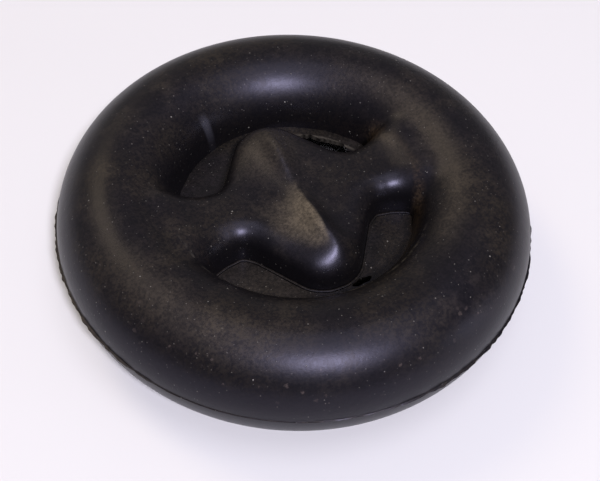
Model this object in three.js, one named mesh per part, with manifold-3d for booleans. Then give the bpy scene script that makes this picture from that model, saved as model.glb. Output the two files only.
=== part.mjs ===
// Exhaust hanger rubber: a moulded rubber ring with a four pointed web across its bore.
// The pits between the points are closed by a thin skin, which the hooks of the car and the
// pipe push through. The whole thing is one moulding in solid black rubber, 72 mm across.
//
// Millimetres, +Z up. The origin is on the surface that the rubber lies on, below its centre.
// X runs along the two arms that join the ring, Y along the two noses that end short of it.

import * as THREE from 'three';
import { LoftGeometry } from 'three/addons/geometries/LoftGeometry.js';
import { mergeVertices } from 'three/addons/utils/BufferGeometryUtils.js';
import Module from 'manifold-3d';

const { lerp, clamp, degToRad } = THREE.MathUtils;

// The ring, whose section is a little higher than it is wide
const ringDiameter = 72;
const ringSectionWidth = 18;
const ringHeight = 19;
const contactBandWidth = 1.2;
const ringSegments = 92;
const sectionArcSegments = 6;

// The flash that the joint of the two mould halves leaves round the outside
const flashReach = 0.35;
const flashThickness = 0.5;

// The arms of the web, which carry the load from side to side of the ring
const armHalfWidth = 5.4;
const armTop = 6.2;
const armFlareFrom = 12.4;
const armFlare = 5.5;
const armFlareBite = 3;
const armBite = 9;

// The noses of the web, which keep the hooks apart
const noseGap = 2.4;
const noseEndHalfWidth = 3.3;
const noseRootHalfWidth = 10.2;
const noseCornerRadius = 5.2;
const nosePeak = 8;
const nosePeakAt = 8;
const noseEndDrop = 2.2;
const pitCornerRadius = 4;

// The saddle where arms and noses meet, the crest's slopes, and the web's walls and edges
const saddleTop = 6.3;
const slopeTop = 5.2;
const crestWidth = 2.8;
const wallDraft = 0.35;
const edgeRadius = 2.5;
const edgeSegments = 4;
const webRings = 6;
const spineShare = 0.85;

// The skin across the bore, at the joint of the mould halves
const skinThickness = 0.8;
const skinBite = 2;

// The hole torn in the skin between the far nose and the right arm, which leaves a ragged rim
const tornRim = 1.6;
const tornRaggedness = 0.25;
const tornFromAngle = 18;
const tornToAngle = 72;
const tornSteps = 24;

// The slit in the skin, level with the near nose's end and just beside it
const slitLength = 3.2;
const slitWidth = 0.8;
const slitBesideNose = 0.6;
const slitTilt = 14;

const ringOuterRadius = ringDiameter / 2;
const ringMeanRadius = ringOuterRadius - ringSectionWidth / 2;
const boreRadius = ringOuterRadius - ringSectionWidth;
const noseReach = boreRadius - noseGap;
const armFlareTo = boreRadius + armFlareBite;
const armEnd = boreRadius + armBite;

const wasm = await Module();
wasm.setup();

// A closed geometry as a solid that can be joined and cut, from its positions alone.
function solidOf(geometry) {
	const bare = new THREE.BufferGeometry();
	bare.setAttribute('position', geometry.getAttribute('position'));
	bare.setIndex(geometry.index);
	const merged = mergeVertices(bare, 1e-4);
	return new wasm.Manifold(new wasm.Mesh({
		numProp: 3,
		vertProperties: merged.attributes.position.array,
		triVerts: new Uint32Array(merged.index.array)
	}));
}

// A solid's surface as a geometry again.
function geometryOf(solid) {
	const mesh = solid.getMesh();
	const geometry = new THREE.BufferGeometry();
	geometry.setAttribute('position', new THREE.BufferAttribute(mesh.vertProperties, 3));
	geometry.setIndex(new THREE.BufferAttribute(mesh.triVerts, 1));
	geometry.computeVertexNormals();
	return geometry;
}

// From 0 to 1 with level ends, so that one height runs smoothly into another.
function blend(share) {
	const s = clamp(share, 0, 1);
	return s * s * (3 - 2 * s);
}

// The ring's section: an ellipse with a narrow flat band below and above, and the flash outside.
function ringSection() {
	const halfWidth = ringSectionWidth / 2;
	const bandAngle = Math.acos(contactBandWidth / ringSectionWidth);
	const halfHeight = ringHeight / 2 / Math.sin(bandAngle);
	const flashAngle = Math.asin(flashThickness / 2 / halfHeight);
	const points = [];
	const arc = (from, to) => {
		for (let i = 0; i <= sectionArcSegments; i++) {
			const angle = lerp(from, to, i / sectionArcSegments);
			const radius = ringMeanRadius + halfWidth * Math.cos(angle);
			points.push(new THREE.Vector2(radius, halfHeight * Math.sin(angle)));
		}
	};
	points.push(new THREE.Vector2(ringOuterRadius + flashReach, 0));
	arc(flashAngle, bandAngle);
	arc(Math.PI - bandAngle, Math.PI);
	points.pop();
	arc(Math.PI, Math.PI + bandAngle);
	arc(2 * Math.PI - bandAngle, 2 * Math.PI - flashAngle);
	points.push(points[0].clone());
	return points;
}

// The ring, turned so that its axis is Z.
function ringSolid() {
	const lathe = new THREE.LatheGeometry(ringSection(), ringSegments);
	return solidOf(lathe.rotateX(Math.PI / 2));
}

// A quarter of the web's outline, from the middle of an arm's root to the middle of a nose's end.
function quarterOutline() {
	const at = (x, y) => new THREE.Vector2(x, y);
	const pit = at(noseRootHalfWidth, armHalfWidth);
	const corner = at(noseEndHalfWidth, noseReach);
	const flank = corner.clone().sub(pit).normalize();
	const halfTurn = flank.angle() / 2;
	const pitLength = pitCornerRadius / Math.tan(halfTurn);
	const cornerLength = Math.min(noseCornerRadius / Math.tan(halfTurn), noseEndHalfWidth);
	const pitStart = pit.clone().add(at(pitLength, 0));
	const pitEnd = pit.clone().addScaledVector(flank, pitLength);
	const cornerStart = corner.clone().addScaledVector(flank, -cornerLength);
	const cornerEnd = corner.clone().sub(at(cornerLength, 0));
	const rootCorner = at(armEnd, armHalfWidth + armFlare);
	const flareEnd = at(armFlareTo, armHalfWidth + armFlare);
	const flareMiddle = at((armFlareFrom + armFlareTo) / 2, armHalfWidth);
	const flareStart = at(armFlareFrom, armHalfWidth);
	const pieces = [
		[new THREE.LineCurve(at(armEnd, 0), rootCorner), 1],
		[new THREE.LineCurve(rootCorner, flareEnd), 1],
		[new THREE.QuadraticBezierCurve(flareEnd, flareMiddle, flareStart), 5],
		[new THREE.LineCurve(flareStart, pitStart), 1],
		[new THREE.QuadraticBezierCurve(pitStart, pit, pitEnd), 4],
		[new THREE.LineCurve(pitEnd, cornerStart), 5],
		[new THREE.QuadraticBezierCurve(cornerStart, corner, cornerEnd), 4],
		[new THREE.LineCurve(cornerEnd, at(0, noseReach)), 1]
	];
	const points = pieces.flatMap(([curve, steps]) => curve.getPoints(steps).slice(0, -1));
	return [...points, at(0, noseReach)];
}

// The whole outline, counterclockwise from the root of the right arm.
function webOutline() {
	const quarter = quarterOutline();
	const back = [...quarter].reverse();
	const mirrored = (points, x, y) => points.slice(0, -1).map((p) => new THREE.Vector2(x * p.x, y * p.y));
	return [
		...mirrored(quarter, 1, 1),
		...mirrored(back, -1, 1),
		...mirrored(quarter, -1, -1),
		...mirrored(back, 1, -1)
	];
}

// The direction into the web at each point of its outline.
function inwardsFrom(outline) {
	return outline.map((point, i) => {
		const before = outline[(i + outline.length - 1) % outline.length];
		const after = outline[(i + 1) % outline.length];
		const along = after.clone().sub(before).normalize();
		return new THREE.Vector2(-along.y, along.x);
	});
}

// The web's height above the joint of the moulds: two crested noses rise out of a saddle,
// and slopes fall from them to the level arms.
function webTop(x, y) {
	const across = Math.abs(x);
	const along = Math.abs(y);
	const slope = lerp(slopeTop, armTop, blend(across / noseRootHalfWidth));
	const rise = lerp(saddleTop, nosePeak, blend(along / nosePeakAt));
	const fall = noseEndDrop * blend((along - nosePeakAt) / (noseReach - nosePeakAt));
	return lerp(slope, rise - fall, Math.exp(-((across / crestWidth) ** 2)));
}

// The web, lofted from the spine of its underside over its edges to the spine of its top.
// The spine is the middle line from arm to arm, where the last section closes on itself.
function webSolid() {
	const outline = webOutline();
	const inwards = inwardsFrom(outline);
	const rounding = Math.min(edgeRadius, noseCornerRadius);
	const inset = (distance) => outline.map((p, i) => p.clone().addScaledVector(inwards[i], distance));
	const level = (points, drop) => points.map((p) => new THREE.Vector3(p.x, p.y, webTop(p.x, p.y) - drop));
	const upper = [];
	for (let i = 0; i <= edgeSegments; i++) {
		const angle = Math.PI / 2 * i / edgeSegments;
		const points = inset(wallDraft + rounding * (1 - Math.cos(angle)));
		upper.push(level(points, rounding * (1 - Math.sin(angle))));
	}
	const brow = inset(wallDraft + rounding);
	for (let i = webRings - 1; i >= 0; i--) {
		const share = i / webRings;
		const scale = new THREE.Vector2(lerp(spineShare, 1, share), share);
		upper.push(level(brow.map((p) => p.clone().multiply(scale)), 0));
	}
	const foot = outline.map((p) => new THREE.Vector3(p.x, p.y, 0));
	const lower = upper.map((points) => points.map((p) => new THREE.Vector3(p.x, p.y, -p.z))).reverse();
	return solidOf(new LoftGeometry([...lower, foot, ...upper]));
}

// A straight prism through the skin, from a closed flat shape.
function cutterFrom(shape) {
	const depth = 3 * skinThickness;
	const cutter = new THREE.ExtrudeGeometry(shape, { depth, bevelEnabled: false });
	return solidOf(cutter.translate(0, 0, -depth / 2));
}

// The torn hole runs from the web out to a ragged rim along the bore.
function tornShape() {
	const shape = new THREE.Shape();
	shape.moveTo(0, 0);
	for (let i = 0; i <= tornSteps; i++) {
		const angle = degToRad(lerp(tornFromAngle, tornToAngle, i / tornSteps));
		const wave = Math.sin(31 * angle) + Math.sin(19 * angle);
		const radius = boreRadius - tornRim + tornRaggedness * wave;
		shape.lineTo(radius * Math.cos(angle), radius * Math.sin(angle));
	}
	shape.closePath();
	return shape;
}

// The slit is a narrow oval across the near nose's corner.
function slitShape() {
	const x = noseEndHalfWidth + slitBesideNose;
	const tilt = degToRad(slitTilt);
	const shape = new THREE.Shape();
	shape.absellipse(x, -noseReach, slitLength / 2, slitWidth / 2, 0, 2 * Math.PI, false, tilt);
	return shape;
}

// The skin, which bites into the ring all round and runs through the web.
function skinSolid() {
	const radius = boreRadius + skinBite;
	const disc = new THREE.CylinderGeometry(radius, radius, skinThickness, ringSegments);
	const whole = solidOf(disc.rotateX(Math.PI / 2));
	return whole.subtract(cutterFrom(tornShape())).subtract(cutterFrom(slitShape()));
}

const blackRubber = new THREE.MeshStandardMaterial({ color: 0x1b1a1c, roughness: 0.5, metalness: 0 });

const moulding = ringSolid().add(webSolid()).add(skinSolid());
const rubber = new THREE.Mesh(geometryOf(moulding), blackRubber);
rubber.name = 'hanger_rubber';
rubber.position.z = ringHeight / 2;

const hanger = new THREE.Group();
hanger.add(rubber);

export default hanger;
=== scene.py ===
import math

import bmesh
import bpy
from mathutils import Matrix, Vector, noise


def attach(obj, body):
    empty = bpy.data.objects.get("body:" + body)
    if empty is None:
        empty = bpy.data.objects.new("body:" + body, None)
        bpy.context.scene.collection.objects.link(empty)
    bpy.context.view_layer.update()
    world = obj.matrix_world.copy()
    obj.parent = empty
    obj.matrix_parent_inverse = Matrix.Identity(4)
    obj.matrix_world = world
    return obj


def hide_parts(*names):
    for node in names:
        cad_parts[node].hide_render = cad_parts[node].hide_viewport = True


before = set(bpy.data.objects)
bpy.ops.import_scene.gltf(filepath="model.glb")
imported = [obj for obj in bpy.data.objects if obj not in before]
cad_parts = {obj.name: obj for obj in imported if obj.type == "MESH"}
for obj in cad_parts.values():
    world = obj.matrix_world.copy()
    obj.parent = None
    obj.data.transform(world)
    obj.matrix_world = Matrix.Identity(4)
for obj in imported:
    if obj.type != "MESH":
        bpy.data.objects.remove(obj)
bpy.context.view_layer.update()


# The body: a ring with a four pointed web across its bore, in one piece of black rubber.
# The rubber is pressed into a two part steel mould and cured there, so every inner corner
# comes out rounded, and the joint of the mould runs round it at half its height.
MM = 0.001
mould_joint = 9.5 * MM
ring_radius = 27 * MM
ring_half_width, ring_half_height = 9 * MM, 9.521 * MM


def spin_round(shape, steps):
    """Turns the outline that a shape starts as once round the axis of the bore."""
    bmesh.ops.spin(shape, geom=shape.verts[:] + shape.edges[:], cent=(0, 0, 0), axis=(0, 0, 1),
                   angle=2 * math.pi, steps=steps, use_merge=True)
    bmesh.ops.recalc_face_normals(shape, faces=shape.faces[:])


# The ring's section is an oval, cut off flat above and below at the mould's full height.
body = bmesh.new()
section = bmesh.ops.create_circle(body, cap_ends=False, radius=1, segments=72)["verts"]
bmesh.ops.scale(body, vec=(ring_half_width, ring_half_height, 1), verts=section)
bmesh.ops.rotate(body, matrix=Matrix.Rotation(math.pi / 2, 3, "X"), verts=section)
bmesh.ops.translate(body, vec=(ring_radius, 0, 0), verts=section)
for vert in section:
    vert.co.z = max(-mould_joint, min(mould_joint, vert.co.z))
spin_round(body, 240)


def mirror(shape, axis):
    """Adds a shape's mirror image to it, across the middle plane that an axis stands on."""
    bmesh.ops.mirror(shape, geom=shape.verts[:] + shape.edges[:] + shape.faces[:],
                     matrix=Matrix(), axis=axis, merge_dist=1e-6)


# The web's outline: a quarter of it, rounded at the pit and the nose, and mirrored twice.
pit_corner, nose_corner = (10.2, 5.4), (3.3, 15.6)
pit_rounding, nose_rounding = 2.2 * MM, 2.7 * MM
web = bmesh.new()
corners = [(0, 0), (25, 0), (25, 10.9), (21, 10.9), (17.4, 7.7), (15.6, 6.55), (13.6, 5.8),
           (11.5, 5.45), pit_corner, nose_corner, (0, 15.6)]
web.faces.new([web.verts.new((x * MM, y * MM, 0)) for x, y in corners])
web.verts.ensure_lookup_table()
pit, nose = (web.verts[corners.index(corner)] for corner in (pit_corner, nose_corner))
for vert, rounding in ((pit, pit_rounding), (nose, nose_rounding)):
    bmesh.ops.bevel(web, geom=[vert], offset=rounding, offset_type="OFFSET", affect="VERTICES",
                    segments=8, profile=0.5, material=-1, clamp_overlap=False)
mirror(web, "X")
mirror(web, "Y")
bmesh.ops.recalc_face_normals(web, faces=web.faces[:])
bmesh.ops.dissolve_limit(web, angle_limit=0.01, verts=web.verts[:], edges=web.edges[:])
outline_mesh = bpy.data.meshes.new("web_outline")
web.to_mesh(outline_mesh)


def cut_across(shape, axis, places):
    """Cuts a shape at these places along an axis, without parting it."""
    for place in places:
        point, normal = Vector(), Vector()
        point[axis], normal[axis] = place, 1
        bmesh.ops.bisect_plane(shape, geom=shape.verts[:] + shape.edges[:] + shape.faces[:],
                               dist=1e-7, plane_co=point, plane_no=normal)


# Its drafted walls and rounded rim, then cuts all over it, so that its top can be shaped.
web_height, wall_draft, rim_rounding = 6.5 * MM, 0.35 * MM, 3.6 * MM
web.faces.ensure_lookup_table()
top = web.faces[0]
if top.normal.z < 0:
    bmesh.ops.reverse_faces(web, faces=[top])
bmesh.ops.inset_region(web, faces=[top], thickness=wall_draft, depth=web_height,
                       use_boundary=True, use_even_offset=True)
bmesh.ops.bevel(web, geom=top.edges[:], offset=rim_rounding, offset_type="OFFSET",
                affect="EDGES", segments=8, profile=0.5, material=-1, clamp_overlap=False)
for axis, reach in ((0, 25), (1, 16)):
    cut_across(web, axis, [(step + 0.5) / 2 * MM for step in range(-reach * 2, reach * 2)])


def between(low, high, share):
    """From low to high with level ends, as share goes from 0 to 1."""
    share = max(0, min(1, share))
    return low + (high - low) * share * share * (3 - 2 * share)


# A crest runs out along each nose, widens and falls off at its end, with hollow slopes
# beside it, and the near one leans to the right. The arms lie lower, and climb a little
# where they run into the ring. The sizes are in millimetres, above the mould's joint.
saddle_top, nose_peak, nose_fall = 6.3, 8, 2.2
peak_at, fall_over = 8, 7.6
slope_foot, arm_top, slope_over = 5.2, 6.2, 10.2
arm_climb, climb_from, climb_over = 1.6, 13.5, 7
crest_width, tip_width, widen_from, widen_over = 2.2, 3.2, 9, 5
tip_lean, lean_from, lean_over = 1.1, 8, 5
crest_sharpness = 1.4
for vert in web.verts:
    lean = between(0, tip_lean, (-vert.co.y / MM - lean_from) / lean_over)
    across, along = abs(vert.co.x / MM - lean), abs(vert.co.y) / MM
    slope = between(slope_foot, arm_top, across / slope_over)
    slope = slope + between(0, arm_climb, (across - climb_from) / climb_over)
    ridge = between(saddle_top, nose_peak, along / peak_at)
    ridge = ridge - between(0, nose_fall, (along - peak_at) / fall_over)
    width = between(crest_width, tip_width, (along - widen_from) / widen_over)
    crest = math.exp(-(across / width) ** crest_sharpness)
    vert.co.z *= (slope + (ridge - slope) * crest) * MM / web_height
mirror(web, "Z")
bmesh.ops.recalc_face_normals(web, faces=web.faces[:])


def shown(name, shape):
    """Puts a shape into the scene under this name."""
    mesh = bpy.data.meshes.new(name)
    shape.to_mesh(mesh)
    made = bpy.data.objects.new(name, mesh)
    bpy.context.scene.collection.objects.link(made)
    return made


def lift(shape, parts, rise):
    """Moves those parts of a shape that are vertices straight up."""
    bmesh.ops.translate(shape, vec=(0, 0, rise),
                        verts=[part for part in parts if isinstance(part, bmesh.types.BMVert)])


# The two run into one skin of even faces. It is smoothed all over, and then more where the
# arms grow out of the ring and where the pits end.
face_size = 0.43 * MM
web_mesh = bpy.data.meshes.new("web")
web.to_mesh(web_mesh)
body.from_mesh(web_mesh)
rough_body = shown("rough_body", body)
one_skin = rough_body.modifiers.new("one_skin", "REMESH")
one_skin.mode = "VOXEL"
one_skin.voxel_size = face_size
one_skin.adaptivity = 0
even_mesh = bpy.data.meshes.new_from_object(
    rough_body.evaluated_get(bpy.context.evaluated_depsgraph_get()))
bpy.data.objects.remove(rough_body)
body = bmesh.new()
body.from_mesh(even_mesh)
arm_roots = [vert for vert in body.verts
             if abs(vert.co.y) < 13 * MM and abs(vert.co.z) > 3 * MM
             and 15.5 * MM < vert.co.xy.length < 24 * MM]
pit_ends = [vert for vert in body.verts
            if abs(vert.co.y) < 11 * MM and abs(vert.co.z) < 6 * MM
            and 13.5 * MM < vert.co.xy.length < 19 * MM]
for verts, passes in ((body.verts[:], 6), (arm_roots, 14), (pit_ends, 25)):
    for turn in range(passes):
        bmesh.ops.smooth_vert(body, verts=verts, factor=0.5,
                              use_axis_x=True, use_axis_y=True, use_axis_z=True)
lift(body, body.verts, mould_joint)
for face in body.faces:
    face.smooth = True
hanger = shown("ring_and_web", body)
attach(hanger, "root")
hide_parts("hanger_rubber")


class Wire:
    """A number on its way through a finish's nodes, which can be added, multiplied and so on."""

    def __init__(self, finish, socket):
        self.finish, self.socket = finish, socket

    def sum(self, operation, first, second):
        return self.finish.node("Math", {"operation": operation}, {0: first, 1: second})

    def __add__(self, other):
        return self.sum("ADD", self, other)

    def __sub__(self, other):
        return self.sum("SUBTRACT", self, other)

    def __rsub__(self, other):
        return self.sum("SUBTRACT", other, self)

    def __mul__(self, other):
        return self.sum("MULTIPLY", self, other)

    __radd__, __rmul__ = __add__, __mul__


class Finish:
    """A finish that is put together from shader nodes, over a place on the piece."""

    def __init__(self, name):
        self.material = bpy.data.materials.new(name)
        self.material.use_nodes = True
        self.shader = self.material.node_tree.nodes["Principled BSDF"]
        self.place = self.node("TexCoord", output="Object")
        self.level = self.vector("MULTIPLY", self.place, (1, 1, 0))

    def node(self, kind, settings=None, sockets=None, output=0):
        made = self.material.node_tree.nodes.new("ShaderNode" + kind)
        for name, value in (settings or {}).items():
            setattr(made, name, value)
        for name, value in (sockets or {}).items():
            self.feed(made.inputs[name], value)
        return Wire(self, made.outputs[output])

    def feed(self, socket, value):
        if isinstance(value, Wire):
            self.material.node_tree.links.new(value.socket, socket)
        else:
            socket.default_value = value

    def vector(self, operation, first, second=(0, 0, 0), output=0):
        return self.node("VectorMath", {"operation": operation}, {0: first, 1: second}, output)

    def axis(self, vector, name):
        """The part of a vector that runs along an axis."""
        return self.node("SeparateXYZ", None, {0: vector}, output=name)

    def step(self, wire, low, high):
        """From 0 to 1 with level ends, as the wire goes from low to high."""
        return self.node("MapRange", {"interpolation_type": "SMOOTHSTEP"},
                         {"Value": wire, "From Min": low, "From Max": high})

    def noise(self, grain, detail, rough):
        """Clouds whose lumps are about a grain wide, in millimetres."""
        return self.node("TexNoise", None, {"Vector": self.place, "Scale": 1 / (grain * MM),
                                            "Detail": detail, "Roughness": rough})

    def mix(self, share, under, over):
        """One colour over another."""
        return self.node("Mix", {"data_type": "RGBA"}, {0: share, 6: under, 7: over}, output=2)

    def spot(self, x, y, reach, z, stray=0):
        """1 at a place on the piece, fading to 0 at its reach."""
        away = self.vector("DISTANCE", self.place, (x * MM, y * MM, z * MM), output="Value")
        return self.step(away + stray, reach * MM, 0)

    def side(self, x, y, facing, soft, stray=0):
        """From 0 to 1 across a straight line through a place, rising the way that it faces."""
        facing = math.radians(facing)
        way = (math.cos(facing), math.sin(facing), 0)
        past = self.vector("DOT_PRODUCT", self.level, way, output="Value")
        past = past + stray - (x * way[0] + y * way[1]) * MM
        return self.step(past, -soft * MM, soft * MM)

    def arc(self, radius, reach, middle, spread, stray=0):
        """1 along an arc round the bore, fading to 0 at its reach and at its ends."""
        away = self.vector("LENGTH", self.level, output="Value") + stray
        away = self.node("Math", {"operation": "ABSOLUTE"}, {0: away - radius * MM})
        middle, spread = math.radians(middle), math.radians(spread)
        turned = self.vector("DOT_PRODUCT", self.vector("NORMALIZE", self.level),
                             (math.cos(middle), math.sin(middle), 0), output="Value")
        return self.step(away, reach * MM, 0) * self.step(turned, math.cos(spread), 1)

    def crumbs(self, cell, size, share, stray=0):
        """Small round grains in a share of the cells, ragged where they stray."""
        cells = {"Vector": self.place, "Scale": 1 / (cell * MM)}
        away = self.node("TexVoronoi", None, cells, output="Distance") + stray
        draw = self.axis(self.node("TexVoronoi", None, cells, output="Color"), "X")
        return self.step(away, size / cell, size / cell * 0.5) * self.step(draw, 1 - share, 1)


def aged_rubber(name, dustiness_and_sheen=1.0, clean=(0.0036, 0.0032, 0.0040)):
    """Black rubber that has bloomed with age and gathered road dust, with painted sheen, painted
    shade and a painted highlight in its colour.
    """
    violet_bloom, brown_bloom = (0.021, 0.0160, 0.0185, 1), (0.030, 0.0225, 0.0150, 1)
    dust_and_sheen_colour, brown_dirt = (0.118, 0.094, 0.066, 1), (0.062, 0.040, 0.024, 1)
    pale_lip_and_sheen, glint_blue = (0.16, 0.140, 0.118, 1), (0.07, 0.068, 0.088, 1)
    dried_mud, pale_grit = (0.115, 0.088, 0.082, 1), (0.20, 0.185, 0.17, 1)
    polish, polish_tint = 0.3, (0.76, 0.73, 1, 1)

    finish = Finish(name)
    facing_up = finish.axis(finish.node("NewGeometry", output="Normal"), "Z")
    up = finish.step(facing_up, 0.3, 0.95)
    patches = finish.noise(13, 3, 0.5)
    clouds = finish.noise(4.5, 5, 0.6)
    mottle = finish.noise(1.2, 4, 0.7)
    fleck = finish.noise(0.45, 3, 0.7)
    grain = finish.step(mottle * 0.35 + fleck * 0.65, 0.4, 0.6)
    stray = (clouds - 0.5) * (6 * MM)

    # Rubbed clean: the front edges of the two arms and the tip of the near nose.
    arm_edges = finish.spot(14, -3.4, 7.5, 15.2) + finish.spot(-9, -5, 5, 15)
    worn = arm_edges + finish.spot(0.6, -14, 4, 15.5)

    # Dust lies thickest on the near nose, left of its crest, and thinly elsewhere. Painted sheen
    # is laid in with it on that slope, brightest along the crest, and in two bands round the ring,
    # on its right inner slope and on its left outer slope.
    flank_dust_and_sheen = (finish.step(facing_up, 0.66, 0.86)
             * finish.side(0.1, 0, 180, 0.4, stray * 0.06)
             * finish.side(-3.4, -3.3, -54, 3, stray)
             * finish.side(-4.4, -7.6, 46, 1.9, stray * 0.3)
             * finish.side(0, -11.4, 90, 1.5, stray * 0.3))
    crest_dust_and_sheen = (finish.side(0.2, 0, 180, 0.3, stray * 0.06) * finish.side(-1.8, 0, 0, 1.4)
                  * finish.side(0, -2, -90, 3) * finish.side(0, -10.4, 90, 1.5))
    # Two bands round the ring, on slopes that face left: dust with a painted sheen.
    ring_right_dust_and_sheen = finish.arc(23.3, 3.6, -5, 64, stray * 0.4)
    ring_left_dust_and_sheen = finish.arc(29.5, 5, 214, 42, stray * 0.6)
    far_nose = finish.spot(-2, 9, 8, 16, stray)
    pit_floor = finish.step(finish.axis(finish.place, "Z"), 10.8 * MM, 10.3 * MM)
    # The skin of the near left pit is made lighter than that of the right pit.
    near_left_pit = pit_floor * finish.side(0, 0, 180, 4) * finish.side(0, 0, -90, 4)
    # The torn strip beside the far nose is made lighter, a painted reflection of the light it
    # catches.
    torn_strip_reflection = finish.arc(17.2, 1.5, 46, 60)
    thin_clouds = finish.step(clouds, 0.45, 0.8)
    dust_and_sheen = (flank_dust_and_sheen * 0.74 + crest_dust_and_sheen * 0.44 + ring_right_dust_and_sheen * 0.24 + ring_left_dust_and_sheen * 0.15
            + far_nose * 0.28 + near_left_pit * 0.7 + torn_strip_reflection * 0.5 + thin_clouds * 0.11)
    dust_and_sheen = dust_and_sheen * up * (0.45 + grain * 0.55) * (1 - worn) * dustiness_and_sheen

    # Brown dirt is packed behind the right arm's root and along the foot of the bore.
    arm_root = finish.spot(16.2, 6.6, 3.4, 14) + finish.spot(16.2, 6.0, 3, 11) * 0.6
    bore_foot = finish.arc(18.3, 0.9, -60, 150)
    pit_end = finish.arc(18.6, 1.2, -34, 30)
    crease = arm_root + bore_foot * 0.25 + pit_end * 0.5

    # Bloom covers it all in clouds, but less where it is worn. It is also made thinner on steep
    # walls and right of the near nose's crest, which is painted shade.
    cloudy = finish.step(patches * 0.5 + clouds * 0.5, 0.3, 0.7)
    bloom_and_shade = (0.3 + cloudy * 0.7) * (0.06 + grain * 0.48)
    bloom_and_shade = bloom_and_shade * (1 - worn * 0.7) * (1 - finish.spot(5.5, -4, 7.5, 15) * 0.45)
    bloom_and_shade = bloom_and_shade * (up * 0.8 + 0.2)

    # Grit all over, flakes of dried mud on the ring's outer side, a painted sheen along the ring's
    # near inner edge in front of the web, a painted highlight on the bore's far wall, and the pale
    # lip of the tear.
    specks = (finish.crumbs(2.1, 0.16, 0.5) + finish.crumbs(1.2, 0.12, 0.9) * 0.65
              + finish.crumbs(0.7, 0.1, 0.8) * 0.4) * finish.step(facing_up, -0.4, 0.3)
    flakes = finish.crumbs(1.5, 0.3, 0.55, (fleck - 0.5) * 0.9)
    flakes = flakes * finish.arc(33.2, 3, 235, 110) * (0.3 + mottle)
    # The painted sheen: a thin pale line along the ring's near inner edge, where it is seen edge
    # on.
    edge_sheen = finish.arc(20.1, 0.35, 255, 75, stray * 0.08) * finish.step(mottle, 0.42, 0.6)
    # The painted highlight: a short pale blue streak down the bore's far wall.
    wall_glint = finish.arc(19.3, 1.5, 112.6, 2.8, stray * 0.2)
    tear_lip = finish.arc(16.3, 0.4, 46, 34, stray * 0.1) * pit_floor * mottle

    bloom = finish.mix(finish.step(patches, 0.35, 0.65), violet_bloom, brown_bloom)
    colour = finish.mix(bloom_and_shade, (*clean, 1), bloom)
    for share, layer in ((dust_and_sheen, dust_and_sheen_colour), (crease * (0.1 + grain * 0.6), brown_dirt),
                         (edge_sheen * 0.5 + tear_lip * 0.5, pale_lip_and_sheen), (wall_glint * 0.4, glint_blue),
                         (flakes * 0.7, dried_mud), (specks * 0.85, pale_grit)):
        colour = finish.mix(share, colour, layer)
    roughness = 0.34 + bloom_and_shade * 0.08 + dust_and_sheen * 0.4 + mottle * 0.06 - worn * 0.05
    height = clouds * 0.06 + mottle * 0.035 + fleck * 0.02 + specks * 0.05 + dust_and_sheen * 0.02
    bump = finish.node("Bump", None, {"Height": height, "Strength": 1, "Distance": 0.5 * MM},
                       output="Normal")
    for socket, value in (("Base Color", colour), ("Roughness", roughness), ("Normal", bump),
                          ("Specular IOR Level", polish), ("Specular Tint", polish_tint)):
        finish.feed(finish.shader.inputs[socket], value)
    return finish.material


hanger.data.materials.append(aged_rubber("rubber"))


# The flash: a thin ragged fin all round the outside, where rubber crept into the mould's
# joint. It was torn off when the ring came out of the mould, and two stretches of it, at the
# left and at the right of the front, are left longer.
ring_edge = 36 * MM
fin_profile = [(-0.4, -0.3), (0, -0.1), (0.2, 0), (0, 0.1), (-0.4, 0.3)]
fin_length, left_extra, right_extra, fin_shortest = 0.1, 0.2, 0.22, 0.02
towards_left, towards_right = Vector((-0.99, 0.12, 0)), Vector((0.64, -0.77, 0))


def closed_line(shape, points):
    """Joins points into a closed line."""
    verts = [shape.verts.new(point) for point in points]
    for first, second in zip(verts, verts[1:] + verts[:1]):
        shape.edges.new((first, second))


fin = bmesh.new()
closed_line(fin, [(ring_edge + x * MM, 0, mould_joint + z * MM) for x, z in fin_profile])
spin_round(fin, 720)
for vert in fin.verts:
    out = Vector((vert.co.x, vert.co.y, 0)).normalized()
    reach = vert.co.dot(out) - ring_edge
    if reach > 0.1 * MM:
        left = between(0, 1, out.dot(towards_left) * 5 - 3.6)
        right = between(0, 1, out.dot(towards_right) * 4 - 2.7)
        ragged = noise.noise(vert.co * 500) + 0.8 * noise.noise(vert.co * 1300 + Vector((5, 0, 0)))
        raggedness = 0.05 + 0.17 * max(left, right)
        length = fin_length + left_extra * left + right_extra * right + raggedness * ragged
        vert.co += out * (max(fin_shortest, length) * MM - reach)
        vert.co.z += 0.1 * MM * noise.noise(vert.co * 200)
flash = shown("flash", fin)
flash.data.materials.append(aged_rubber("flash_rubber", 0.3))
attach(flash, "root")


# The skin: rubber of the same moulding, left 0.8 mm thick across the bore where the mould
# halves don't quite meet. A hook has slit it beside the near nose, and torn it beside the
# far one, where the inner side of the tear droops.
skin_thickness, skin_radius = 0.8 * MM, 18.8 * MM
tear_radius, tear_from, tear_to, tear_steps = 16.4, math.radians(19), math.radians(74), 90
tag_at, tag_width, tag_length = 33, 3, 0.05
flap_droop, flap_from, flap_over = 2.6, 11.6, 6.5
slit_x, slit_y, slit_tilt, slit_steps = 3.6, -15.8, math.radians(8), 28
slit_half_length, slit_half_width = 1.7, 0.5


def tear(angle):
    """A point of the tear's ragged outer side, which has one longer tag, in millimetres."""
    here = Vector((math.cos(angle), math.sin(angle), 0)) * tear_radius
    tag = math.exp(-((math.degrees(angle) - tag_at) / tag_width) ** 2)
    ragged = 0.026 * noise.noise(here * 0.45) + 0.03 * noise.noise(here * 1.3 + Vector((3, 1, 0)))
    return here * (1 + ragged - tag_length * tag)


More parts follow.
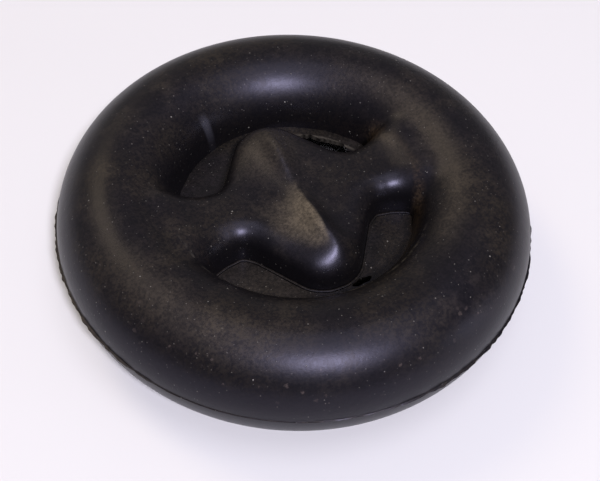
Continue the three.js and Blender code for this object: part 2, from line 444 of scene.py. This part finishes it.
outer = [tear(tear_from + (tear_to - tear_from) * step / tear_steps)
         for step in range(tear_steps + 1)]
inner = [point * (0.985 - 0.03 * math.sin(math.pi * step / tear_steps))
         for step, point in enumerate(outer)]
hole = [point.xy for point in outer + inner[::-1]]
slit = []
for step in range(slit_steps):
    angle = 2 * math.pi * step / slit_steps
    along = slit_half_length * math.cos(angle)
    wide = slit_half_width * math.sin(angle) * (1 + 0.2 * math.sin(5 * angle))
    slit.append((slit_x + along * math.cos(slit_tilt) - wide * math.sin(slit_tilt),
                 slit_y + along * math.sin(slit_tilt) + wide * math.cos(slit_tilt)))
skin = bmesh.new()
bmesh.ops.create_circle(skin, cap_ends=False, radius=skin_radius, segments=120)
for outline in (hole, slit):
    closed_line(skin, [(x * MM, y * MM, 0) for x, y in outline])
bmesh.ops.triangle_fill(skin, use_beauty=True, edges=skin.edges[:])
for face in [face for face in skin.faces if face.normal.z < 0]:
    face.normal_flip()
for axis in (0, 1):
    cut_across(skin, axis, [(step + 0.37) * 0.5 * MM for step in range(-38, 39)])
underside = bmesh.ops.extrude_face_region(skin, geom=skin.faces[:], use_keep_orig=True)["geom"]
lift(skin, underside, -skin_thickness)
bmesh.ops.recalc_face_normals(skin, faces=skin.faces[:])
for vert in skin.verts:
    angle, away = math.atan2(vert.co.y, vert.co.x), vert.co.xy.length / MM
    if tear_from < angle < tear_to and away < tear(angle).length * 0.99:
        ends = math.sin(math.pi * (angle - tear_from) / (tear_to - tear_from))
        droop = between(0, flap_droop, (away - flap_from) / flap_over)
        vert.co.z -= droop * between(0, 1, ends * 2) * MM
    vert.co.z += 0.12 * MM * noise.noise(vert.co * 300)
lift(skin, skin.verts, mould_joint + skin_thickness / 2)

# A low lip on it, all along the foot of the web, where the two are squeezed together.
lip_height, lip_width, lip_rounding = 0.3 * MM, 0.35 * MM, 0.1 * MM
lip = bmesh.new()
lip.from_mesh(outline_mesh)
wall = bmesh.ops.extrude_edge_only(lip, edges=lip.edges[:])["geom"]
web_face = [face for face in lip.faces if len(face.verts) > 4]
bmesh.ops.delete(lip, geom=web_face, context="FACES_ONLY")
lift(lip, wall, skin_thickness + lip_height)
bmesh.ops.recalc_face_normals(lip, faces=lip.faces[:])
bmesh.ops.solidify(lip, geom=lip.faces[:], thickness=-lip_width)
bmesh.ops.bevel(lip, geom=[edge for edge in lip.edges if edge.calc_face_angle(0) > 1],
                offset=lip_rounding, offset_type="OFFSET", affect="EDGES", segments=2,
                profile=0.5, material=-1, clamp_overlap=True)
lift(lip, lip.verts, mould_joint - skin_thickness / 2)
lip_mesh = bpy.data.meshes.new("lip")
lip.to_mesh(lip_mesh)
skin.from_mesh(lip_mesh)
web_skin = shown("web_skin", skin)
web_skin.data.materials.append(aged_rubber("skin_rubber", 0.12, (0.0034, 0.0031, 0.0028)))
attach(web_skin, "root")


# The floor: a wide sheet of plain pale paper that the rubber lies on. It is matt, and only a
# view from low down shows where it ends.
floor_half_width, paper_colour, paper_roughness = 1.5, (0.735, 0.715, 0.745, 1), 0.7
sheet = bmesh.new()
bmesh.ops.create_grid(sheet, x_segments=1, y_segments=1, size=floor_half_width)
floor = shown("floor", sheet)
paper = bpy.data.materials.new("paper")
paper.use_nodes = True
paper.node_tree.nodes["Principled BSDF"].inputs["Base Color"].default_value = paper_colour
paper.node_tree.nodes["Principled BSDF"].inputs["Roughness"].default_value = paper_roughness
floor.data.materials.append(paper)


# The camera: it looks down on the rubber from the front left, as in the photograph. Its
# place, its turn and its lens were fitted to the ring's outline there.
camera = bpy.data.objects.new("camera", bpy.data.cameras.new("camera"))
camera.data.lens = 63.9
camera.location = (-0.0474, -0.0931, 0.1357)
camera.rotation_euler = [math.radians(angle) for angle in (38.117, -2.400, -24.495)]
bpy.context.scene.collection.objects.link(camera)
bpy.context.scene.camera = camera


# The lights: a bright window high in front, a wide ceiling, a weak window low at the right,
# and a warm lamp high at the back. Each is a round panel that faces the rubber.
for name, place, size, power, colour in (
    ("window", (-0.0810, -0.8540, 1.1060), 0.24, 21.5, (0.92, 0.91, 1.0)),
    ("ceiling", (0.12, -0.14, 1.33), 0.8, 3.4, (0.95, 0.95, 1.0)),
    ("side_window", (0.6825, -0.5708, 0.1355), 0.25, 0.6, (0.90, 0.92, 1.0)),
    ("lamp", (-0.35, 0.81, 0.94), 0.45, 2.8, (1.0, 0.84, 0.48)),
):
    light = bpy.data.objects.new(name, bpy.data.lights.new(name, "AREA"))
    light.data.shape = "DISK"
    light.data.size = size
    light.data.energy = power
    light.data.color = colour
    light.location = place
    light.rotation_euler = Vector(place).to_track_quat("Z", "Y").to_euler()
    bpy.context.scene.collection.objects.link(light)


# The studio round it: soft pale walls and a ceiling, which the rubber's gloss reflects. They
# are brightest above and behind, and dim on the camera's side.
brightest_way, studio_colour = (0, 0.6, 0.8), (1, 0.97, 0.95, 1)
world = bpy.data.worlds.new("studio")
world.use_nodes = True
nodes, links = world.node_tree.nodes, world.node_tree.links
way = nodes.new("ShaderNodeTexCoord")
rise = nodes.new("ShaderNodeVectorMath")
rise.operation = "DOT_PRODUCT"
rise.inputs[1].default_value = brightest_way
glow = nodes.new("ShaderNodeMapRange")
glow.interpolation_type = "SMOOTHSTEP"
for socket, value in (("From Min", -0.2), ("From Max", 0.9), ("To Min", 0.02), ("To Max", 0.26)):
    glow.inputs[socket].default_value = value
links.new(way.outputs["Generated"], rise.inputs[0])
links.new(rise.outputs["Value"], glow.inputs["Value"])
links.new(glow.outputs["Result"], nodes["Background"].inputs["Strength"])
nodes["Background"].inputs["Color"].default_value = studio_colour
bpy.context.scene.world = world
bpy.context.scene.view_settings.view_transform = "Standard"
